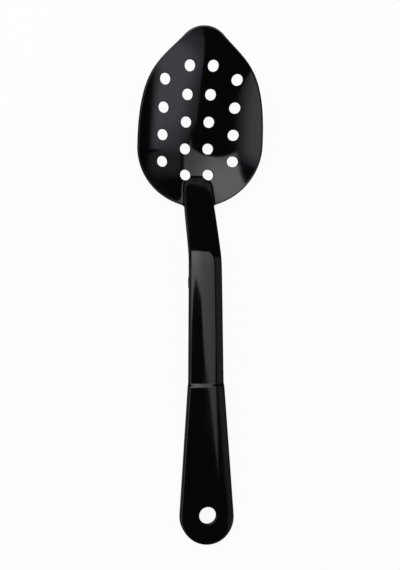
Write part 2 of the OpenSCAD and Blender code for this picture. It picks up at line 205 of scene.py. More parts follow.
class Spoon:
    """The spoon's surfaces in the frame of its mould, in millimetres.

    Z is the way the mould opens, X runs across, and a station is a distance back from the tip of the bowl.
    """

    def __init__(self):
        b = self.b = Millimetres(bpy.context.scene.spoon_bowl)
        h = self.h = Millimetres(bpy.context.scene.spoon_handle)
        self.bowl_l = b.front + b.back
        self.knee = self.bowl_l + h.neck
        self.bowl_end = self.bowl_l + h.rim_fillet
        self.neck_end = self.knee + h.knee_soft / 2
        self.step_foot = self.knee + h.thumb
        self.total = self.step_foot + h.grip
        # The thumb stop's zone reaches a third of the step past each end of its slope
        self.stop_start = self.step_foot - h.step_run / 3
        self.stop_end = self.step_foot + h.step_run * 4 / 3
        self.end_r = h.end_width / 2
        self.end_centre = self.total - self.end_r
        half, run = h.grip_width / 2, self.end_centre - self.stop_end
        self.flare = math.asin(self.end_r / math.hypot(half, run)) - math.atan(half / run)
        self.flare_end = self.end_centre - self.end_r * math.sin(self.flare)
        # The neck's root is solid for twice the thickness of the sides
        self.hollow_start = self.bowl_end + 2 * h.side
        self.hollow_k = b.depth / (b.width / 2) ** HOLLOW_POWER
        self.root_floor = self.rim_z(self.bowl_l) - h.root_drop
        self.tongue_front = self.bowl_l - h.tongue
        self.bowl_line = self.bowl_outline()
        self.lay_down()

    def neck_share(self, st):
        return (st - self.bowl_l) / (self.neck_end - self.bowl_l)

    def neck_half(self, st):
        return mix(self.h.root_width, self.h.knee_width, np.clip(self.neck_share(st), 0, 1)) / 2

    def handle_half(self, st):
        h = self.h
        st = np.asarray(st, float)
        thumb = mix(h.knee_width, h.step_width, (st - self.neck_end) / (self.stop_start - self.neck_end)) / 2
        climb = ramp((st - self.stop_start) / (self.stop_end - self.stop_start))
        step = mix(h.step_width, h.grip_width, climb) / 2
        flare = h.grip_width / 2 + (st - self.stop_end) * math.tan(self.flare)
        end = np.sqrt(np.maximum(0, self.end_r ** 2 - (st - self.end_centre) ** 2))
        zones = [st < self.neck_end, st < self.stop_start, st < self.stop_end, st < self.flare_end]
        return np.select(zones, [self.neck_half(st), thumb, step, flare], end)

    def rim_z(self, st):
        return -self.b.tip_drop - st * math.tan(self.b.fall)

    def neck_top(self, st):
        bend = np.sqrt((st - self.knee) ** 2 + self.h.knee_soft ** 2 / 4)
        return math.tan(self.h.slope) / 2 * (st - self.knee - bend)

    def handle_middle(self, st):
        return self.neck_top(st) + self.h.step_rise * ramp((st - self.step_foot) / self.h.step_run)

    def neck_height(self, st):
        return mix(self.h.root_height, self.h.height, ramp(self.neck_share(st)))

    def bowl_outline(self):
        """Stations and half widths of the bowl's edge, from the tip back to the neck."""
        b, h = self.b, self.h
        side = b.width / 2
        a = b.tip_turn * np.arange(TIP_ROWS + 1) / TIP_ROWS
        arc = b.tip_round * np.stack([1 - np.cos(a), np.sin(a)], 1)
        pull = b.flank_pull * np.array([math.sin(b.tip_turn), math.cos(b.tip_turn)])
        # The flank is a Bezier curve from the tip's arc to the widest place
        p = [arc[-1], arc[-1] + pull, np.array([b.front - b.side_pull, side]), np.array([b.front, side])]
        t = (np.arange(1, FLANK_ROWS + 1) / FLANK_ROWS)[:, None]
        u = 1 - t
        flank = u ** 3 * p[0] + 3 * u ** 2 * t * p[1] + 3 * u * t * t * p[2] + t ** 3 * p[3]
        a = math.pi / 2 * np.arange(1, BACK_ROWS + 1) / BACK_ROWS
        # What the fillet adds to the ellipse goes to nothing at the widest place, so the edge has no step
        excess = soft_max(side, h.root_width / 2, h.rim_fillet) - side
        half = soft_max(side * np.cos(a), h.root_width / 2, h.rim_fillet) - excess * np.cos(a)
        back = np.stack([b.front + b.back * np.sin(a), half], 1)
        st = mix(self.bowl_l, self.bowl_end, np.arange(1, STUB_ROWS + 1) / STUB_ROWS)
        return np.concatenate([arc, flank, back, np.stack([st, self.neck_half(st)], 1)])

    def bowl_half(self, st):
        """Half width of the bowl, from a smooth curve through the squares of the outline's half widths."""
        s, v = self.bowl_line[:, 0], self.bowl_line[:, 1] ** 2
        slope = np.gradient(v, s)
        i = np.clip(np.searchsorted(s, st) - 1, 0, len(s) - 2)
        run = s[i + 1] - s[i]
        t = np.clip((st - s[i]) / run, 0, 1)
        rise = v[i + 1] - v[i]
        value = v[i] + t * (slope[i] * run) + t * t * (3 * rise - run * (2 * slope[i] + slope[i + 1]))
        value = value + t ** 3 * (run * (slope[i] + slope[i + 1]) - 2 * rise)
        return np.sqrt(np.maximum(value, 0))

    def hollow(self, x, st):
        half = np.maximum(self.bowl_half(st), MERGE)
        dish = half ** HOLLOW_POWER - x * x * half ** (HOLLOW_POWER - 2)
        return self.rim_z(st) - self.hollow_k * dish

    def tongue_out(self, x, st):
        """Distance outside the tongue's outline, which is rounded at its front."""
        r = self.h.tongue_round
        across = np.abs(x) - self.neck_half(st) + r
        along = self.tongue_front + r - st
        corner = np.hypot(np.maximum(across, 0), np.maximum(along, 0))
        return corner + np.minimum(0, np.maximum(across, along)) - r

    def wall_fall(self, d):
        """How far the tongue's leaning wall has fallen at a distance outside its outline."""
        return (d + np.sqrt(d * d + (self.h.tongue_blend / 2) ** 2)) / 2 / math.tan(self.h.tongue_lean)

    def neck_ramp(self, st):
        return ramp((st - self.bowl_l) / (self.bowl_end - self.bowl_l))

    def handle_top(self, x, st):
        share = np.abs(x) / self.handle_half(np.minimum(st, self.end_centre))
        fall = mix(self.h.root_crown, self.h.crown, ramp(self.neck_share(st)))
        return self.handle_middle(st) - fall * share ** CROWN_POWER

    def handle_foot(self, x, st):
        # Adding 0 * x gives the result the shape of x
        return self.neck_top(st) - self.neck_height(st) + 0 * x

    def bowl_top(self, x, st):
        fall = self.h.root_crown * (np.abs(x) / self.neck_half(st)) ** CROWN_POWER
        tongue = self.neck_top(st) - fall - self.wall_fall(self.tongue_out(x, st))
        inside = soft_max(self.hollow(x, st), tongue, self.h.tongue_blend)
        return mix(inside, self.handle_top(x, st), self.neck_ramp(st))

    def bowl_foot(self, x, st):
        across, along = slopes(self.hollow, x, st)
        shell = self.hollow(x, st) - self.b.wall * np.sqrt(1 + across ** 2 + along ** 2)
        floor = np.maximum(self.neck_top(st) - self.neck_height(st), self.root_floor)
        root = floor + self.wall_fall(self.tongue_out(x, st))
        under = np.where(st > self.bowl_l, root, soft_min(shell, root, self.h.tongue_blend))
        return mix(under, self.handle_foot(x, st), self.neck_ramp(st))

    def ceiling(self, x, st):
        """Roof of the open underside."""
        e = GRADIENT_STEP
        slope = (self.neck_top(st + e) - self.neck_top(st - e)) / (2 * e)
        return self.neck_top(st) - self.h.plate * np.sqrt(1 + slope ** 2) + 0 * x

    def lay_down(self):
        """Lays the spoon down: its keel and the lower edge of its handle's end touch the table."""
        foot = self.h.foot_round
        st = self.bowl_line[:, 0]
        keel = np.stack([-st, self.bowl_foot(0 * st, st)], 1)
        heel = np.array([foot - self.total, self.neck_top(self.total) - self.h.height + foot])
        pitch = 0.0
        for _ in range(PITCH_ROUNDS):
            rise = heel[1] - keel[:, 1] - foot / math.cos(pitch)
            pitch = float(np.max(np.arctan(rise / (keel[:, 0] - heel[0]))))
        floor = heel[0] * math.sin(pitch) + heel[1] * math.cos(pitch) - foot
        front = -(keel[0, 1] + foot) * math.sin(pitch)
        end_top = self.handle_middle(self.total) - self.h.edge_round
        back = -self.total * math.cos(pitch) - end_top * math.sin(pitch)
        shift = Matrix.Translation((0, -(front + back) / 2, -floor))
        self.rest = shift @ Matrix.Rotation(pitch, 4, "X")

    def place(self, points):
        """Points of the mould's frame, in millimetres, as points of the row's frame, in metres."""
        m = np.array(self.rest)
        return (points @ m[:3, :3].T + m[:3, 3]) * MM

    def turn(self, normals):
        return normals @ np.array(self.rest)[:3, :3].T


def surface_normal(height, x, st, up):
    """Outward normal of a height over the plan, with up 1 for an upper skin and -1 for a lower one."""
    across, along = slopes(height, x, st)
    n = np.stack([-across, along, np.ones_like(across)], -1) * up
    return n / np.linalg.norm(n, axis=-1, keepdims=True)


# The attribute that carries each corner's shown normal through the trees that bore the holes
SHOWN = "shown_normal"
# A way that faces both the roof of the open underside and its front wall
UNDERSIDE = np.array([0, -0.3, -1])


class Shell:
    """Gathers the patches of one closed skin, with the normal that each corner of each face shows."""

    def __init__(self):
        self.ids = {}
        self.points = []
        self.faces = []
        self.normals = []

    def vertex(self, p):
        key = tuple(round(c, MERGE_PLACES) + 0.0 for c in p)
        if key not in self.ids:
            self.ids[key] = len(self.points)
            self.points.append(key)
        return self.ids[key]

    def patch(self, points, outward, smooth=True):
        """A grid of points becomes faces that look outward. Where it isn't smooth, it shows flat faces."""
        ni, nj = points.shape[:2]
        ids = [[self.vertex(p) for p in row] for row in points.tolist()]
        for i in range(ni - 1):
            for j in range(nj - 1):
                ring = []
                for a, b in ((i, j), (i + 1, j), (i + 1, j + 1), (i, j + 1)):
                    if ids[a][b] not in [ids[c][d] for c, d in ring]:
                        ring.append((a, b))
                if len(ring) < 3:
                    continue
                p = [points[c] for c in ring]
                flat = np.cross(p[1] - p[0], p[2] - p[0]) + np.cross(p[2] - p[0], p[-1] - p[0])
                flat /= max(np.linalg.norm(flat), MERGE ** 2)
                if np.dot(flat, sum(outward[c] for c in ring)) < 0:
                    ring.reverse()
                    flat = -flat
                self.faces.append([ids[a][b] for a, b in ring])
                self.normals.append([outward[c] if smooth else flat for c in ring])

    def close(self):
        """Fills each open boundary with one flat face."""
        edges = {(a, b) for face in self.faces for a, b in zip(face, face[1:] + face[:1])}
        ahead = {b: a for a, b in edges if (b, a) not in edges}
        while ahead:
            start, at = ahead.popitem()
            loop = [start]
            while at != start:
                loop.append(at)
                at = ahead.pop(at)
            p = np.array([self.points[i] for i in loop])
            flat = np.cross(p, np.roll(p, -1, 0)).sum(0)
            flat /= np.linalg.norm(flat)
            self.faces.append(loop)
            self.normals.append([flat] * len(loop))

    def mesh(self):
        """The skin as a mesh in the mould's frame, in metres, with its shown normals kept as an attribute."""
        me = bpy.data.meshes.new("skin")
        me.from_pydata((np.array(self.points) * MM).tolist(), [], self.faces)
        shown = me.attributes.new(SHOWN, "FLOAT_VECTOR", "CORNER")
        shown.data.foreach_set("vector", np.concatenate([np.ravel(n) for n in self.normals]))
        return me


# Angles of the rings round a rounded edge, from the skin to the side
ROUND_LEANS = np.linspace(math.pi / 2, 0, ARC_PARTS + 1)


def plate(line, top, foot, top_r, foot_r, columns, side=None, ceiling=None, opened=None):
    """A closed skin between two heights over a symmetric plan.

    line holds the stations and half widths of its edge. Where the first half width is 0, the plan closes in a
    round tip. columns gives the places across each row from its half width. With a ceiling, the underside is
    open inside walls of the side thickness, on the rows that are opened.
    """
    shell = Shell()
    st, half = line[:, 0], line[:, 1]
    tip = half[0] < MERGE
    ahead = np.sign(st[-1] - st[0])
    run = np.stack([np.gradient(half), np.gradient(st)], 1) * ahead
    if tip:
        run[0] = (ahead, 0)
    else:
        run[:] = (0, 1)
    run[-1] = (0, 1)
    run /= np.linalg.norm(run, axis=1, keepdims=True)
    inward = np.stack([-run[:, 1], run[:, 0]], 1)

    def ring(inset):
        return half + inset * inward[:, 0], st + inset * inward[:, 1]

    def point(x, s, z):
        return np.stack([x, -s, z], -1)

    side_normal = np.stack([-inward[:, 0], inward[:, 1], 0 * half], 1)
    rows = []
    for height, r, up, leans in ((top, top_r, 1, ROUND_LEANS), (foot, foot_r, -1, ROUND_LEANS[::-1])):
        for lean in leans:
            x, s = ring(r * (1 - math.cos(lean)))
            normal = surface_normal(height, x, s, up) * math.sin(lean) + side_normal * math.cos(lean)
            rows.append((point(x, s, height(x, s) - up * r * (1 - math.sin(lean))), normal))
    points = np.stack([row[0] for row in rows], 1)
    normals = np.stack([row[1] / np.linalg.norm(row[1], axis=-1, keepdims=True) for row in rows], 1)
    flip = np.array([-1, 1, 1])
    shell.patch(points, normals)
    shell.patch(points * flip, normals * flip)

    def grid(x, s):
        grid_x = columns(x)
        return grid_x, np.broadcast_to(s[:, None], grid_x.shape)

    def across(inset, height, up):
        grid_x, grid_s = grid(*ring(inset))
        normal = surface_normal(height, grid_x, grid_s, up)
        shell.patch(point(grid_x, grid_s, height(grid_x, grid_s)), normal)

    across(top_r, top, 1)
    if ceiling is None:
        across(foot_r, foot, -1)
        shell.close()
        return shell
    x, s = ring(side)
    low = point(x, s, foot(x, s))
    high = point(x, s, np.where(opened, ceiling(x, s), foot(x, s)))
    down = np.tile([0.0, 0.0, -1.0], (len(x), 1))
    outer_x, outer_s = ring(foot_r)
    floor = np.stack([point(outer_x, outer_s, foot(outer_x, outer_s)), low], 1)
    wall = np.stack([low, high], 1)
    for sign in (np.array([1, 1, 1]), flip):
        shell.patch(floor * sign, np.stack([down, down], 1), False)
        shell.patch(wall * sign, np.stack([-side_normal, -side_normal], 1) * sign, False)
    grid_x, grid_s = grid(x, s)
    grid_z = np.where(opened[:, None], ceiling(grid_x, grid_s), foot(grid_x, grid_s))
    under = np.broadcast_to(UNDERSIDE, grid_x.shape + (3,))
    shell.patch(point(grid_x, grid_s, grid_z), under, False)
    shell.close()
    return shell


# Distance between the places of neighbouring nodes in the node editor, across and down
NODE_STEP = (220, 180)


def node(tree, kind, at=(0, 0), links=None, **settings):
    """Adds a node with its settings and links. A link from a node leaves by its first output."""
    made = tree.nodes.new(kind)
    made.location = (at[0] * NODE_STEP[0], -at[1] * NODE_STEP[1])
    for name, value in settings.items():
        setattr(made, name, value)
    for name, value in (links or {}).items():
        source = value.outputs[0] if isinstance(value, bpy.types.Node) else value
        if isinstance(source, bpy.types.NodeSocket):
            tree.links.new(source, made.inputs[name])
        else:
            made.inputs[name].default_value = source
    return made


def blank_tree(made):
    """The node tree of a new material or world, emptied."""
    made.use_nodes = True
    made.node_tree.nodes.clear()
    return made.node_tree


MATH = "ShaderNodeMath"


def new_group(name, kinds):
    """A Geometry Nodes tree that turns these named inputs into a skin."""
    tree = bpy.data.node_groups.new(name, "GeometryNodeTree")
    for label, kind in kinds.items():
        tree.interface.new_socket(label, in_out="INPUT", socket_type="NodeSocket" + kind)
    tree.interface.new_socket("Skin", in_out="OUTPUT", socket_type="NodeSocketGeometry")
    return tree, node(tree, "NodeGroupInput").outputs


def bore_group():
    """Cuts bores with rounded edges through a skin, straight down at each point of a set."""
    tree, given = new_group("Bore through skin", {
        "Skin": "Geometry", "Places": "Geometry", "Diameter": "Float", "Edge": "Float"})

    # A drill of radius 1 and half height 1, whose rings are told apart by their height
    drill = node(tree, "GeometryNodeMeshCylinder", (1, 1), {
        "Vertices": HOLE_SIDES, "Side Segments": 2 * (EDGE_PARTS + 1), "Radius": 1.0, "Depth": 2.0})
    unit = node(tree, "GeometryNodeCaptureAttribute", (2, 1), {"Geometry": drill})
    unit.capture_items.new("VECTOR", "Unit")
    tree.links.new(node(tree, "GeometryNodeInputPosition", (1, 2)).outputs[0], unit.inputs["Unit"])
    placed = node(tree, "GeometryNodeInstanceOnPoints", (3, 1), {
        "Points": given["Places"], "Instance": unit.outputs["Geometry"]})
    drills = node(tree, "GeometryNodeRealizeInstances", (4, 1), {"Geometry": placed})

    # From the straight wall the rings lean out over the rounded edge, and the last one runs past the skin
    out = node(tree, "ShaderNodeSeparateXYZ", (3, 3), {0: unit.outputs["Unit"]}).outputs
    level = node(tree, MATH, (4, 3), {0: out["Z"]}, operation="ABSOLUTE")
    side = node(tree, MATH, (4, 4), {0: out["Z"]}, operation="SIGN")
    first, last = 1 / (EDGE_PARTS + 1), EDGE_PARTS / (EDGE_PARTS + 1)
    lean = node(tree, "ShaderNodeMapRange", (5, 3), {
        "Value": level, "From Min": first, "From Max": last, "To Min": math.pi / 2, "To Max": EDGE_LEAN})
    past = node(tree, "ShaderNodeMapRange", (5, 4), {
        "Value": level, "From Min": last, "From Max": 1.0, "To Min": 0.0, "To Max": OVERRUN * MM})
    sine = node(tree, MATH, (6, 3), {0: lean}, operation="SINE")
    cosine = node(tree, MATH, (6, 4), {0: lean}, operation="COSINE")
    away = node(tree, MATH, (7, 3), {0: 1.0, 1: sine}, operation="SUBTRACT")
    under = node(tree, MATH, (7, 4), {0: 1.0, 1: cosine}, operation="SUBTRACT")
    past_out = node(tree, MATH, (7, 5), {0: past, 1: cosine}, operation="MULTIPLY")
    past_up = node(tree, MATH, (7, 6), {0: past, 1: sine}, operation="MULTIPLY")
    reach = node(tree, MATH, (8, 3), {0: given["Edge"], 1: away, 2: past_out}, operation="MULTIPLY_ADD")
    depth = node(tree, MATH, (8, 4), {0: given["Edge"], 1: under}, operation="MULTIPLY")
    drop = node(tree, MATH, (9, 4), {0: depth, 1: past_up}, operation="SUBTRACT")
    radius = node(tree, MATH, (9, 3), {0: given["Diameter"], 1: 0.5, 2: reach}, operation="MULTIPLY_ADD")

    # Each point's place in plan: the middle of its drill, and the unit circle at the ring's radius
    here = node(tree, "GeometryNodeInputPosition", (8, 1))
    middle = node(tree, "ShaderNodeVectorMath", (9, 1), {
        0: here, 1: unit.outputs["Unit"]}, operation="SUBTRACT")
    spread = node(tree, "ShaderNodeCombineXYZ", (10, 2), {0: radius, 1: radius})
    plan = node(tree, "ShaderNodeVectorMath", (11, 1), {
        0: unit.outputs["Unit"], 1: spread, 2: middle}, operation="MULTIPLY_ADD")

    # The skin is met from 1 m above and from 1 m below
    heights = []
    for up in (1, -1):
        start = node(tree, "ShaderNodeVectorMath", (12, up), {0: plan, 1: (0, 0, up)})
        met = node(tree, "GeometryNodeRaycast", (13, up), {
            "Target Geometry": given["Skin"], "Source Position": start, "Ray Direction": (0, 0, -up),
            "Ray Length": 2.0})
        hit = node(tree, "ShaderNodeSeparateXYZ", (14, up), {0: met.outputs["Hit Position"]})
        heights.append(hit.outputs["Z"])
    both = node(tree, MATH, (15, 0), {0: heights[0], 1: heights[1]}, operation="ADD")
    wall = node(tree, MATH, (15, 1), {0: heights[0], 1: heights[1]}, operation="SUBTRACT")
    half = node(tree, MATH, (16, 1), {0: wall, 1: 0.5}, operation="MULTIPLY")
    off = node(tree, MATH, (17, 1), {0: half, 1: drop}, operation="SUBTRACT")
    rise = node(tree, MATH, (18, 1), {0: off, 1: side}, operation="MULTIPLY")
    height = node(tree, MATH, (19, 0), {0: both, 1: 0.5, 2: rise}, operation="MULTIPLY_ADD")
    flat = node(tree, "ShaderNodeVectorMath", (19, 1), {0: plan, 1: (1, 1, 0)}, operation="MULTIPLY")
    lift = node(tree, "ShaderNodeCombineXYZ", (20, 0), {2: height})
    target = node(tree, "ShaderNodeVectorMath", (21, 0), {0: flat, 1: lift})
    shaped = node(tree, "GeometryNodeSetPosition", (22, 1), {"Geometry": drills, "Position": target})

    # The bore's wall shows the drill's own roundness, turned to face its middle
    turned = node(tree, "GeometryNodeInputNormal", (21, 3))
    smooth = node(tree, "GeometryNodeFieldOnDomain", (22, 3), {
        0: turned}, data_type="FLOAT_VECTOR", domain="POINT")
    facing = node(tree, "ShaderNodeVectorMath", (23, 3), {0: smooth, "Scale": -1.0}, operation="SCALE")
    kept = node(tree, "GeometryNodeStoreNamedAttribute", (24, 1), {
        "Geometry": shaped, "Name": SHOWN, "Value": facing}, data_type="FLOAT_VECTOR", domain="CORNER")
    cut = node(tree, "GeometryNodeMeshBoolean", (25, 0), {
        "Mesh 1": given["Skin"], "Mesh 2": kept, "Self Intersection": True},
        operation="DIFFERENCE", solver="EXACT")
    node(tree, "NodeGroupOutput", (26, 0), {"Skin": cut})
    return tree


def bores_tree(name, group):
    """A tree that sets rows of places in the skin's plan and bores them. The rows are mirrored in pairs."""
    tree, given = new_group(name, {
        "Skin": "Geometry", "Diameter": "Float", "Edge": "Float", "First": "Float", "Pitch": "Float",
        "Middle gap": "Float", "Outer gap": "Float", "Middle count": "Int", "Outer count": "Int",
        "Material": "Material"})
    back = node(tree, MATH, (1, 1), {0: given["Pitch"], 1: -1.0}, operation="MULTIPLY")
    step = node(tree, "ShaderNodeCombineXYZ", (2, 1), {1: back})
    places = node(tree, "GeometryNodeJoinGeometry", (5, 1))
    # Y is the negative of a station. The outer rows start half a pitch behind the middle ones
    for row, (rows, share) in enumerate((("Middle", 0.0), ("Outer", -0.5))):
        late = node(tree, MATH, (2, row), {0: given["Pitch"], 1: share}, operation="MULTIPLY")
        y = node(tree, MATH, (3, row), {0: late, 1: given["First"]}, operation="SUBTRACT")
        for side in (0.5, -0.5):
            x = node(tree, MATH, (2, row - side), {0: given[rows + " gap"], 1: side}, operation="MULTIPLY")
            start = node(tree, "ShaderNodeCombineXYZ", (3, row - side), {0: x, 1: y})
            line = node(tree, "GeometryNodeMeshLine", (4, row - side), {
                "Count": given[rows + " count"], "Start Location": start, "Offset": step})
            tree.links.new(line.outputs[0], places.inputs[0])
    bore = node(tree, "GeometryNodeGroup", (6, 0), {
        "Skin": given["Skin"], "Places": places, "Diameter": given["Diameter"], "Edge": given["Edge"]},
        node_tree=group)
    real = node(tree, "GeometryNodeRealizeInstances", (7, 0), {"Geometry": bore})
    finish = node(tree, "GeometryNodeSetMaterial", (8, 0), {"Geometry": real, "Material": given["Material"]})
    node(tree, "NodeGroupOutput", (9, 0), {"Skin": finish})
    return tree


def new_object(name, data):
    made = bpy.data.objects.new(name, data)
    bpy.context.scene.collection.objects.link(made)
    return made


def bored(me, inputs):
    """The mesh after the tree has bored its holes, as a plain mesh."""
    tree = bpy.data.node_groups.get("Drain holes") or bores_tree("Drain holes", bore_group())
    piece = new_object("in work", me)
    modifier = piece.modifiers.new("Bores", "NODES")
    modifier.node_group = tree
    for item in tree.interface.items_tree:
        if item.in_out == "INPUT" and item.name in inputs:
            modifier[item.identifier] = inputs[item.name]
    depsgraph = bpy.context.evaluated_depsgraph_get()
    done = bpy.data.meshes.new_from_object(
        piece.evaluated_get(depsgraph), preserve_all_data_layers=True, depsgraph=depsgraph)
    piece.modifiers.clear()
    bpy.data.objects.remove(piece)
    return done


def finish_piece(spoon, me, name):
    """Lays a mesh of the mould's frame down in the row's frame, and makes it a piece of the spoon."""
    points = np.empty(len(me.vertices) * 3, np.float32)
    me.vertices.foreach_get("co", points)
    me.vertices.foreach_set("co", spoon.place(points.reshape(-1, 3) / MM).ravel())
    normals = np.empty(len(me.loops) * 3, np.float32)
    me.attributes[SHOWN].data.foreach_get("vector", normals)
    normals = spoon.turn(normals.reshape(-1, 3))
    normals /= np.maximum(np.linalg.norm(normals, axis=1, keepdims=True), MERGE)
    me.attributes.remove(me.attributes[SHOWN])
    me.shade_smooth()
    me.normals_split_custom_set(normals.tolist())
    me.materials.clear()
    me.materials.append(black_plastic())
    me.name = name + "_moulding"
    piece = new_object(me.name, me)
    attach(piece, BODY)
    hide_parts(name)


# Where the bowl's columns stand: shares of the tongue's half width, close at its wall, then of what is left
TONGUE_COLUMNS = np.concatenate([np.linspace(0, 0.84, 6), np.linspace(0.88, 1.5, 20)])
OPEN_COLUMNS = np.linspace(0, 1, 27)[1:]
# The most of the bowl's half width that the tongue's takes there, which narrows its columns near the tip
TONGUE_SHARE = 0.45


def handle_columns(x):
    return x[:, None] * np.linspace(-1, 1, HANDLE_COLUMNS + 1)


def stations(start, end, rows):
    return np.linspace(start, end, rows + 1)


def handle_line(spoon, st):
    return np.stack([st, spoon.handle_half(st)], 1)


def channel(spoon, line, ceiling, opened=None):
    """A length of the handle, whose underside is open on all rows or on those given."""
    h = spoon.h
    if opened is None:
        opened = np.ones(len(line), bool)
    shell = plate(line, spoon.handle_top, spoon.handle_foot, h.edge_round, h.foot_round, handle_columns,
                  h.side, ceiling, opened)
    return shell.mesh()


def hex_colour(code):
    """An sRGB colour such as #101112 as linear red, green, blue and alpha."""
    parts = [int(code[i:i + 2], 16) / 255 for i in (1, 3, 5)]
    return [p / 12.92 if p <= 0.04045 else ((p + 0.055) / 1.055) ** 2.4 for p in parts] + [1.0]


# Levels of the noise at which handling starts to dull the gloss, and at which it has dulled it in full
DULLED = (0.35, 0.7)


def black_plastic():
    """Black polycarbonate, moulded in a polished mould."""
    name = "Gloss black moulded polycarbonate"
    found = bpy.data.materials.get(name)
    if found:
        return found
    look = bpy.context.scene.spoon_finish
    made = bpy.data.materials.new(name)
    tree = blank_tree(made)
    where = node(tree, "ShaderNodeTexCoord").outputs["Object"]
    # The polish is even, but the plastic's skin froze in slow waves a few millimetres long
    waves = node(tree, "ShaderNodeTexNoise", (1, 1), {
        "Vector": where, "Scale": 1 / look.wave_length, "Detail": 1.0, "Roughness": 0.4})
    bump = node(tree, "ShaderNodeBump", (2, 1), {
        "Height": waves, "Strength": 1.0, "Distance": look.wave_height})
    # Handling dulls the gloss in soft patches
    patches = node(tree, "ShaderNodeTexNoise", (1, 0), {
        "Vector": where, "Scale": 1 / look.dull_size, "Detail": 3.0, "Roughness": 0.6})
    rough = node(tree, "ShaderNodeMapRange", (2, 0), {
        "Value": patches, "From Min": DULLED[0], "From Max": DULLED[1],
        "To Min": look.roughness, "To Max": look.roughness + look.dulling})
    shader = node(tree, "ShaderNodeBsdfPrincipled", (3, 0), {
        "Base Color": hex_colour(look.colour), "Roughness": rough, "IOR": look.ior, "Normal": bump})
    node(tree, "ShaderNodeOutputMaterial", (4, 0), {"Surface": shader})
    return made


class SPOON_PG_finish(bpy.types.PropertyGroup):
    """The plastic's colour and polish"""
    colour: StringProperty(name="Colour", description="Colour of the plastic, as an sRGB hex value",
                           default="#040405")
    ior: FloatProperty(name="IOR", description="Refractive index of polycarbonate", default=1.585, min=1)
    roughness: FloatProperty(name="Roughness", description="Roughness of the polished skin",
                             default=0.07, min=0, max=1, subtype="FACTOR")
    dulling: FloatProperty(name="Dulling", description="Roughness that handling adds in patches",
                           default=0.05, min=0, max=1, subtype="FACTOR")
    dull_size: length("Dull patches", 22, "Size of the patches that handling dulls")
    wave_length: length("Wave length", 9, "Length of the slow waves in the moulded skin")
    wave_height: length("Wave height", 0.004, "Height of the slow waves in the moulded skin")


class SPOON_OT_bowl(bpy.types.Operator):
    """Makes the perforated bowl, with the neck's tongue inside it"""
    bl_idname = "spoon.bowl"
    bl_label = "Bowl"

    def execute(self, context):
        spoon = Spoon()
        b, h = spoon.b, spoon.h

        def columns(x):
            tongue = np.minimum(h.root_width / 2, TONGUE_SHARE * x)[:, None]
            near = tongue * TONGUE_COLUMNS
            right = np.concatenate([near, mix(near[:, -1:], x[:, None], OPEN_COLUMNS)], 1)
            return np.concatenate([-right[:, :0:-1], right], 1)

        top_r = mix(b.rim_round, h.edge_round, spoon.neck_ramp(spoon.bowl_line[:, 0]))
        shell = plate(spoon.bowl_line, spoon.bowl_top, spoon.bowl_foot, top_r, h.foot_round, columns)
        me = bored(shell.mesh(), {
            "Diameter": b.hole * MM, "Edge": b.hole_soft * MM, "First": b.first * MM, "Pitch": b.pitch * MM,
            "Middle gap": b.middle_gap * MM, "Outer gap": b.outer_gap * MM,
            "Middle count": b.middle_count, "Outer count": b.outer_count, "Material": black_plastic()})
        finish_piece(spoon, me, "bowl")
        return {"FINISHED"}


class SPOON_OT_neck(bpy.types.Operator):
    """Makes the steep neck, whose underside opens behind a solid root"""
    bl_idname = "spoon.neck"
    bl_label = "Neck"

    def execute(self, context):
        spoon = Spoon()
        solid = stations(spoon.bowl_end, spoon.hollow_start, STUB_ROWS)
        hollow = stations(spoon.hollow_start, spoon.neck_end, HANDLE_ROWS)
        line = handle_line(spoon, np.concatenate([solid, hollow]))
        opened = np.arange(len(line)) > STUB_ROWS
        finish_piece(spoon, channel(spoon, line, spoon.ceiling, opened), "neck")
        return {"FINISHED"}


class SPOON_OT_thumb_rest(bpy.types.Operator):
    """Makes the channel-shaped length of handle behind the knee"""
    bl_idname = "spoon.thumb_rest"
    bl_label = "Thumb rest"

    def execute(self, context):
        spoon = Spoon()
        line = handle_line(spoon, stations(spoon.neck_end, spoon.stop_start, HANDLE_ROWS))
        finish_piece(spoon, channel(spoon, line, spoon.ceiling), "thumb_rest")
        return {"FINISHED"}


class SPOON_OT_thumb_stop(bpy.types.Operator):
    """Makes the short step up from the thumb rest to the grip"""
    bl_idname = "spoon.thumb_stop"
    bl_label = "Thumb stop"

    def execute(self, context):
        spoon = Spoon()
        line = handle_line(spoon, stations(spoon.stop_start, spoon.stop_end, HANDLE_ROWS))
        finish_piece(spoon, channel(spoon, line, spoon.ceiling), "thumb_stop")
        return {"FINISHED"}


class SPOON_OT_grip(bpy.types.Operator):
    """Makes the widening grip, with its round end and hanging hole"""
    bl_idname = "spoon.grip"
    bl_label = "Grip"

    def execute(self, context):
        spoon = Spoon()
        h = spoon.h
        turn = np.linspace(math.pi / 2, -spoon.flare, END_ROWS + 1)
        end = np.stack([spoon.end_centre + spoon.end_r * np.sin(turn), spoon.end_r * np.cos(turn)], 1)
        end[0, 1] = 0
        flare = handle_line(spoon, stations(spoon.flare_end, spoon.stop_end, HANDLE_ROWS)[1:])

        def ceiling(x, st):
            return spoon.ceiling(x, st) + h.step_rise

        me = bored(channel(spoon, np.concatenate([end, flare]), ceiling), {
            "Diameter": h.hang_hole * MM, "Edge": h.hang_soft * MM, "First": (spoon.total - h.hang_edge) * MM,
            "Pitch": 0.0, "Middle gap": 0.0, "Outer gap": 0.0, "Middle count": 1, "Outer count": 0,
            "Material": black_plastic()})
        finish_piece(spoon, me, "grip")
        return {"FINISHED"}


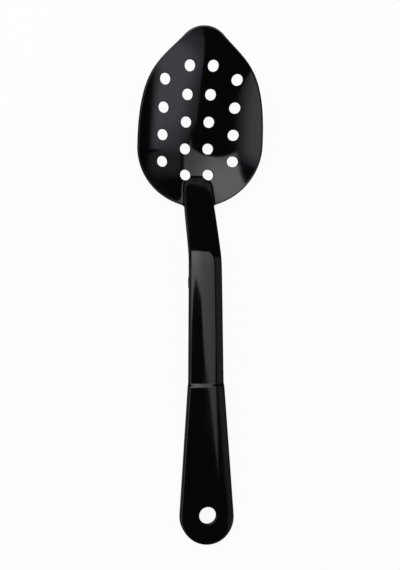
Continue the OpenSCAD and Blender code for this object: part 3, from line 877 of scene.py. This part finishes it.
class SPOON_OT_pan_stop(bpy.types.Operator):
    """Makes the bar below the handle that stops on a pan's rim"""
    bl_idname = "spoon.pan_stop"
    bl_label = "Pan stop"

    def execute(self, context):
        spoon = Spoon()
        h = spoon.h
        front = spoon.knee + h.stop_set
        back = front + h.stop_run
        middle = front + h.stop_run / 2
        half = float(spoon.handle_half(middle))
        inner = half - h.side
        low = h.stop_round - h.height - h.stop_drop
        roof = float(spoon.ceiling(0.0, middle))
        turn = np.linspace(0, math.pi / 2, ARC_PARTS + 1)
        ahead = np.stack([np.cos(turn), -np.sin(turn)], 1)
        behind = (ahead * (-1, 1))[::-1]
        lower = np.concatenate([ahead * h.stop_round + (-front - h.stop_round, low),
                                behind * h.stop_round + (h.stop_round - back, low)])
        lean = np.concatenate([[(1, 0)], ahead, behind, [(-1, 0)]])
        columns = ((-half, -h.height), (-inner, -h.height), (-inner, roof), (inner, roof),
                   (inner, -h.height), (half, -h.height))
        rings = []
        for x, top in columns:
            ring = np.concatenate([[(-front, top)], lower, [(-back, top)]])
            rings.append(np.column_stack([np.full(len(ring), x), ring]))
        rings = np.array(rings)
        normals = np.broadcast_to(np.column_stack([np.zeros(len(lean)), lean]), rings.shape)
        shell = Shell()
        shell.patch(rings, normals)
        crown = rings[:, [0, -1]]
        shell.patch(crown, np.broadcast_to((0.0, 0.0, 1.0), crown.shape), False)
        shell.close()
        finish_piece(spoon, shell.mesh(), "pan_stop")
        return {"FINISHED"}


class SPOON_PG_studio(bpy.types.PropertyGroup):
    """The table, the camera and the lights"""
    lean: FloatVectorProperty(name="Camera lean", description="Turns of the spoon under the camera",
                              default=[math.radians(a) for a in (1.87, 9.2, 0.544)], subtype="EULER")
    centre: length("Centre", 140, "Station of the spoon that the camera is set up over")
    shift: FloatVectorProperty(name="Shift", description="Place of that station in the camera's view",
                               default=(0.00364, -0.00101, 0), unit="LENGTH")
    distance: length("Distance", 650, "Height of the camera over the spoon")
    floor: StringProperty(name="Floor", description="Colour of the table, as an sRGB hex value",
                          default="#484848")
    floor_size: length("Table size", 12000, "Side of the square table")
    floor_glow: FloatProperty(name="Floor glow", description="Light added to the table for the camera",
                              default=0.93, min=0)
    mirrored: FloatProperty(name="Mirrored", description="Light of the table and room in gloss and glass",
                            default=0.02, min=0)
    room: FloatProperty(name="Room light", description="Light of the room on matt surfaces",
                        default=0.45, min=0)


# The focal length in pixels of the photograph and half its width, which give the view's angle
FOCAL = 1211.5
HALF_WIDTH = 200


def studio_frame():
    """The frame of the camera's axis in the row's frame, with its origin over the spoon's centre."""
    spoon = Spoon()
    s = bpy.context.scene.spoon_studio
    turns = [Matrix.Rotation(a, 4, axis) for a, axis in zip(s.lean, "XYZ")]
    lean = turns[2] @ turns[1] @ turns[0]
    centre = Matrix.Translation((0, -s.centre / MM, 0))
    shift = Matrix.Translation(-Vector(s.shift) / MM)
    frame_mm = spoon.rest @ centre @ lean.inverted() @ shift
    frame_mm.translation *= MM
    return frame_mm


# Soft light panels: height over the spoon in metres and its fall per metre across, strength, colour, then for
# the left, right, near and far side the level there and the share of the panel in which it rises to full, and
# last the directions from the bowl to the corners, as degrees across and along
PANELS = {
    "overhead": (0.74, 0.9, 2.0, "#ffffff", ((0.6, 0.15), (0.5, 0.2), (0.45, 0.4), (0.8, 0.1)), (
        (-38, -17), (-38, 45), (-35, 52), (30, 52), (36, 35), (37, -20), (30, -30), (8, -10.5), (-11, -5.5),
        (-22, -7))),
    "low_right": (2.78, 0.278, 1.15, "#e2e0f0", ((0.35, 0.24), (0, 0.45), (0.3, 0.1), (0, 0.12)), (
        (40, -27), (30, -33), (22, -35), (22, -45), (32, -70), (45, -79), (88, -88.8), (88, -80), (83, -56),
        (77, -42), (68, -28), (58, -18), (50, -12))),
    "left": (0.9, 0, 1.0, "#e8e8f2", ((0, 0.1), (0, 0.25), (0, 0.15), (0, 0.36)), (
        (-75, 26), (-62, 22), (-52, 14), (-42, 4), (-34, -8), (-30, -22), (-30, -33), (-33, -42), (-42, -52),
        (-50, -62), (-75, -62))),
    "right": (0.9, 0.3, 0.21, "#ffffff", ((0.8, 0.1), (0, 0.6), (0, 0.15), (0, 0.4)), (
        (42, 37), (55, 45), (66, 52), (75, 60), (84, 72), (88, 80), (88, -52), (42, -32))),
}
# The middle of the bowl in the studio's frame, in metres
BOWL_VIEW = Vector((0.0035, 0.079, -0.028))


def emission(name, colour, strength, sides):
    """A soft panel's light, which is weaker at its sides. What is behind the panel shines through it."""
    made = bpy.data.materials.new(name)
    tree = blank_tree(made)
    where = node(tree, "ShaderNodeTexCoord", (0, 0)).outputs["Generated"]
    parts = node(tree, "ShaderNodeSeparateXYZ", (1, 0), {0: where}).outputs
    level = strength
    for row, (axis, start, (edge, share)) in enumerate(zip("XXYY", (0, 1, 0, 1), sides)):
        span = {"From Min": start, "From Max": abs(start - share), "To Min": edge, "To Max": 1.0}
        rise = node(tree, "ShaderNodeMapRange", (2, row), {"Value": parts[axis], **span},
                    interpolation_type="SMOOTHSTEP")
        level = node(tree, MATH, (3 + row, row), {0: rise, 1: level}, operation="MULTIPLY")
    glow = node(tree, "ShaderNodeEmission", (7, 0), {"Color": hex_colour(colour), "Strength": level})
    clear = node(tree, "ShaderNodeBsdfTransparent", (7, 1))
    both = node(tree, "ShaderNodeAddShader", (8, 0), {0: glow, 1: clear})
    node(tree, "ShaderNodeOutputMaterial", (9, 0), {"Surface": both})
    return made


def seen_level(tree, camera, mirrored, matt=0.0):
    """A strength with one level for the camera, one in gloss and glass, and one for matt surfaces."""
    path = node(tree, "ShaderNodeLightPath", (0, 0)).outputs
    either = node(tree, MATH, (1, 0), {0: path["Is Glossy Ray"], 1: path["Is Transmission Ray"]},
                  operation="MAXIMUM")
    mirror = node(tree, MATH, (2, 0), {0: either, 1: mirrored}, operation="MULTIPLY")
    lit = node(tree, MATH, (2, 1), {0: path["Is Diffuse Ray"], 1: matt, 2: mirror}, operation="MULTIPLY_ADD")
    return node(tree, MATH, (3, 0), {0: path["Is Camera Ray"], 1: camera, 2: lit}, operation="MULTIPLY_ADD")


def set_camera(studio):
    s = bpy.context.scene.spoon_studio
    camera = new_object("Camera", bpy.data.cameras.new("Camera"))
    camera.matrix_world = studio @ Matrix.Translation((0, 0, s.distance))
    camera.data.sensor_fit = "HORIZONTAL"
    camera.data.angle = 2 * math.atan(HALF_WIDTH / FOCAL)
    bpy.context.scene.camera = camera


def set_table():
    s = bpy.context.scene.spoon_studio
    r = s.floor_size / 2
    me = bpy.data.meshes.new("floor")
    me.from_pydata([(-r, -r, 0), (r, -r, 0), (r, r, 0), (-r, r, 0)], [], [(0, 1, 2, 3)])
    # White to the camera by its glow, and dark under the light, so that it doesn't turn the gloss grey
    white = bpy.data.materials.new("White table top")
    tree = blank_tree(white)
    glow = node(tree, "ShaderNodeEmission", (4, 0), {"Strength": seen_level(tree, s.floor_glow, s.mirrored)})
    matt = node(tree, "ShaderNodeBsdfDiffuse", (4, 1), {"Color": hex_colour(s.floor)})
    both = node(tree, "ShaderNodeAddShader", (5, 0), {0: glow, 1: matt})
    node(tree, "ShaderNodeOutputMaterial", (6, 0), {"Surface": both})
    me.materials.append(white)
    new_object("floor", me)


def set_panel(studio, name, height, fall, strength, colour, sides, corners):
    points = []
    for across, along in corners:
        way = Vector((math.tan(math.radians(across)), math.tan(math.radians(along)), 1))
        points.append(BOWL_VIEW + way * ((height - BOWL_VIEW.z) / (1 + fall * way.x)))
    me = bpy.data.meshes.new(name)
    me.from_pydata(points, [], [list(range(len(corners)))[::-1]])
    me.materials.append(emission("Light panel, " + name, colour, strength, sides))
    panel = new_object("panel_" + name, me)
    panel.matrix_world = studio
    panel.visible_camera = False


def set_room():
    s = bpy.context.scene.spoon_studio
    world = bpy.data.worlds.new("Studio")
    tree = blank_tree(world)
    sky = node(tree, "ShaderNodeBackground", (4, 0), {"Strength": seen_level(tree, 1.0, s.mirrored, s.room)})
    node(tree, "ShaderNodeOutputWorld", (5, 0), {"Surface": sky})
    bpy.context.scene.world = world


class SPOON_OT_stage(bpy.types.Operator):
    """Sets the table, the light panels, the room and the camera"""
    bl_idname = "spoon.stage"
    bl_label = "Table, lights and camera"

    def execute(self, context):
        studio = studio_frame()
        set_camera(studio)
        set_table()
        for name, panel in PANELS.items():
            set_panel(studio, name, *panel)
        set_room()
        context.scene.view_settings.view_transform = "Standard"
        return {"FINISHED"}


class SPOON_PT_panel(bpy.types.Panel):
    """Lists the steps that build the spoon"""
    bl_idname = "SPOON_PT_panel"
    bl_label = "Perforated serving spoon"
    bl_space_type = "VIEW_3D"
    bl_region_type = "UI"
    bl_category = "Spoon"

    def draw(self, context):
        for step in STEPS:
            self.layout.operator(step.bl_idname)
        for group in GROUPS:
            box = self.layout.box()
            sizes = getattr(context.scene, group)
            for name in type(sizes).__annotations__:
                box.prop(sizes, name)


STEPS = (SPOON_OT_bowl, SPOON_OT_neck, SPOON_OT_thumb_rest, SPOON_OT_thumb_stop, SPOON_OT_grip,
         SPOON_OT_pan_stop, SPOON_OT_stage)
GROUPS = {"spoon_bowl": SPOON_PG_bowl, "spoon_handle": SPOON_PG_handle, "spoon_finish": SPOON_PG_finish,
          "spoon_studio": SPOON_PG_studio}


def register():
    for cls in (*GROUPS.values(), *STEPS, SPOON_PT_panel):
        bpy.utils.register_class(cls)
    for name, group in GROUPS.items():
        setattr(bpy.types.Scene, name, PointerProperty(type=group))


def unregister():
    for name in GROUPS:
        delattr(bpy.types.Scene, name)
    for cls in (SPOON_PT_panel, *reversed(STEPS), *GROUPS.values()):
        bpy.utils.unregister_class(cls)


def main():
    register()
    bpy.ops.spoon.bowl()
    bpy.ops.spoon.neck()
    bpy.ops.spoon.thumb_rest()
    bpy.ops.spoon.thumb_stop()
    bpy.ops.spoon.grip()
    bpy.ops.spoon.pan_stop()
    bpy.ops.spoon.stage()


if __name__ == "__main__":
    main()
